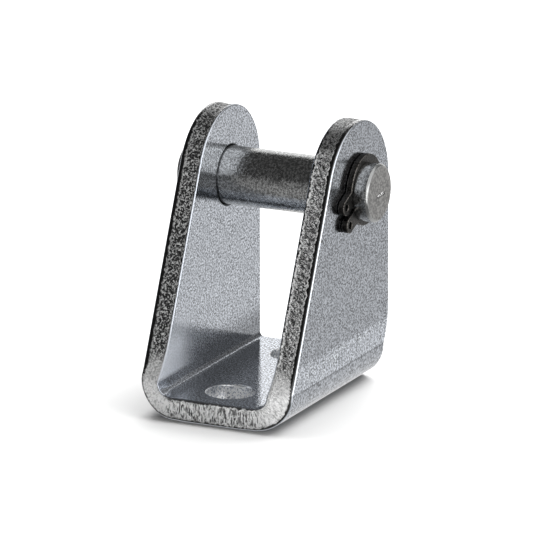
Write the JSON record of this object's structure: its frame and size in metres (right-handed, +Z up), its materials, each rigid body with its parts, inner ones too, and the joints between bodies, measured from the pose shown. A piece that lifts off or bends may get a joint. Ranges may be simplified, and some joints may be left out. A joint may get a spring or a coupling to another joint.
{
  "type": "rear trunnion bracket",
  "caption": "Folded sheet-steel clevis bracket with a loose cross pin held by retaining rings, for hinging the rear of a small pneumatic cylinder.",
  "frame": {"origin": "middle of the flat mounting face under the base", "axes": "+X along the pivot pin, +Y to the rear, towards the upright edges of the ears, +Z up from the mounting face to the pin"},
  "size_m": [0.0286, 0.032, 0.038],
  "materials": {
    "zinc_plated_sheet": "zinc plated, satin faces and torn sheared edges",
    "turned_pin": "turned and zinc plated, glossy round the side and matt on the ends",
    "spring_steel_ring": "phosphated, dark and oily"
  },
  "bodies": {
    "bracket": {"clevis_bracket": "zinc_plated_sheet"},
    "pin": {"pivot_pin": "turned_pin", "retaining_ring_right": "spring_steel_ring", "retaining_ring_left": "spring_steel_ring"}
  },
  "joints": [
    {"name": "pin_spin", "type": "hinge", "parent": "bracket", "child": "pin", "pos_m": [0, 0.0064, 0.0284], "axis": [1, 0, 0], "continuous": true}
  ]
}
